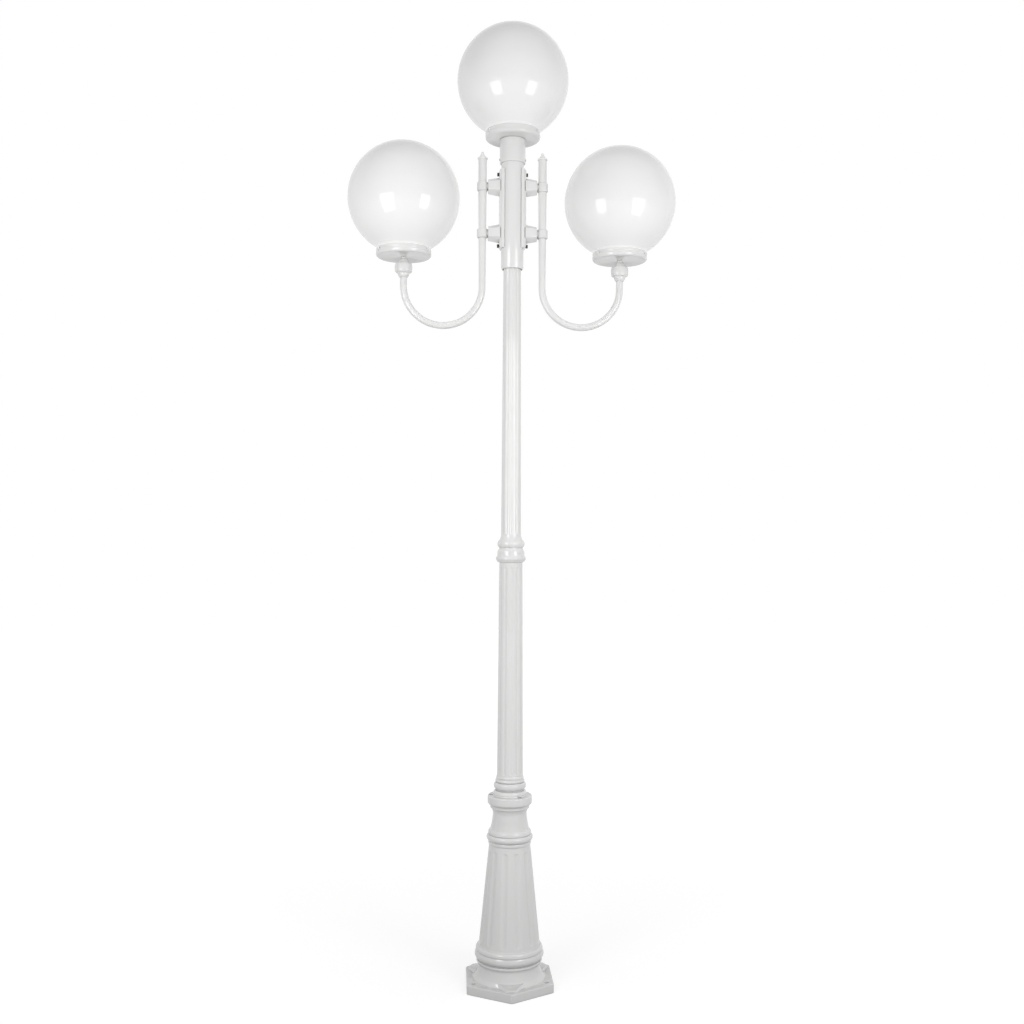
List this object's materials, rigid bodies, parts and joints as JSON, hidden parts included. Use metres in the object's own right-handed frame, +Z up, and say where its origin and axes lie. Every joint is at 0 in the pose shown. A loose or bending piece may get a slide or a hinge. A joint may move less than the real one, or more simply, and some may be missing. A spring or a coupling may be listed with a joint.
{
  "type": "triple head lamp post",
  "caption": "White garden lamp post with a hexagonal foot, a fluted tapering column, J-shaped side arms and opal globe heads on round fitters.",
  "frame": {"origin": "on the ground at the centre of the foot plate's bounding box, on the post's axis", "axes": "+Z up the post; +X along the arms to the right-hand side of a viewer at the front; -Y towards that viewer, where one corner of the foot points"},
  "size_m": [0.7364, 0.25, 2.153],
  "materials": {
    "coated_casting": "gloss",
    "coated_tube": "gloss",
    "coated_screw": "gloss",
    "plated_steel": "satin",
    "dark_steel": "satin",
    "brass_part": "satin",
    "lamp_cap_metal": "satin",
    "lamp_envelope": "matte",
    "opal_globe": "gloss",
    "gasket_rubber": "matte",
    "holder_ceramic": "gloss",
    "terminal_plastic": "matte"
  },
  "bodies": {
    "root": {"base_casting": "coated_casting", "terminal_block": "terminal_plastic", "terminal_block_screws": "plated_steel", "earth_screw": "brass_part", "base_coupling": "plated_steel", "base_lock_nut": "plated_steel", "lower_pole": "coated_casting", "mid_coupling": "plated_steel", "upper_pole": "coated_casting", "head_tube": "coated_tube", "post_top_sleeve": "coated_casting", "sleeve_screws": "dark_steel", "arm_bracket_left": "coated_casting", "bracket_bolts_left": "dark_steel", "ring_screws_left": "dark_steel", "arm_left": "coated_tube", "finial_left": "coated_casting", "knuckle_left": "coated_casting", "dome_spacer_left": "coated_casting", "arm_bracket_right": "coated_casting", "bracket_bolts_right": "dark_steel", "ring_screws_right": "dark_steel", "arm_right": "coated_tube", "finial_right": "coated_casting", "knuckle_right": "coated_casting", "dome_spacer_right": "coated_casting", "nipple_left": "plated_steel", "fitter_left": "coated_casting", "lock_nut_left": "plated_steel", "gasket_left": "gasket_rubber", "neck_screws_left": "coated_screw", "lamp_holder_left": "holder_ceramic", "contact_shell_left": "brass_part", "nipple_right": "plated_steel", "fitter_right": "coated_casting", "lock_nut_right": "plated_steel", "gasket_right": "gasket_rubber", "neck_screws_right": "coated_screw", "lamp_holder_right": "holder_ceramic", "contact_shell_right": "brass_part", "nipple_top": "plated_steel", "fitter_top": "coated_casting", "lock_nut_top": "plated_steel", "gasket_top": "gasket_rubber", "neck_screws_top": "coated_screw", "lamp_holder_top": "holder_ceramic", "contact_shell_top": "brass_part"},
    "globe_left": {"globe_left": "opal_globe"},
    "lamp_left": {"lamp_cap_left": "lamp_cap_metal", "lamp_bulb_left": "lamp_envelope"},
    "globe_right": {"globe_right": "opal_globe"},
    "lamp_right": {"lamp_cap_right": "lamp_cap_metal", "lamp_bulb_right": "lamp_envelope"},
    "globe_top": {"globe_top": "opal_globe"},
    "lamp_top": {"lamp_cap_top": "lamp_cap_metal", "lamp_bulb_top": "lamp_envelope"}
  },
  "joints": [
    {"name": "globe_left_lift", "type": "slide", "parent": "root", "child": "globe_left", "axis": [0, 0, 1], "range_m": [0, 0.15]},
    {"name": "lamp_left_turn", "type": "hinge", "parent": "root", "child": "lamp_left", "pos_m": [-0.2432, 0, 1.668], "axis": [0, 0, 1], "continuous": true},
    {"name": "globe_right_lift", "type": "slide", "parent": "root", "child": "globe_right", "axis": [0, 0, 1], "range_m": [0, 0.15]},
    {"name": "lamp_right_turn", "type": "hinge", "parent": "root", "child": "lamp_right", "pos_m": [0.2432, 0, 1.668], "axis": [0, 0, 1], "continuous": true},
    {"name": "globe_top_lift", "type": "slide", "parent": "root", "child": "globe_top", "axis": [0, 0, 1], "range_m": [0, 0.15]},
    {"name": "lamp_top_turn", "type": "hinge", "parent": "root", "child": "lamp_top", "pos_m": [0, 0, 1.936], "axis": [0, 0, 1], "continuous": true}
  ]
}
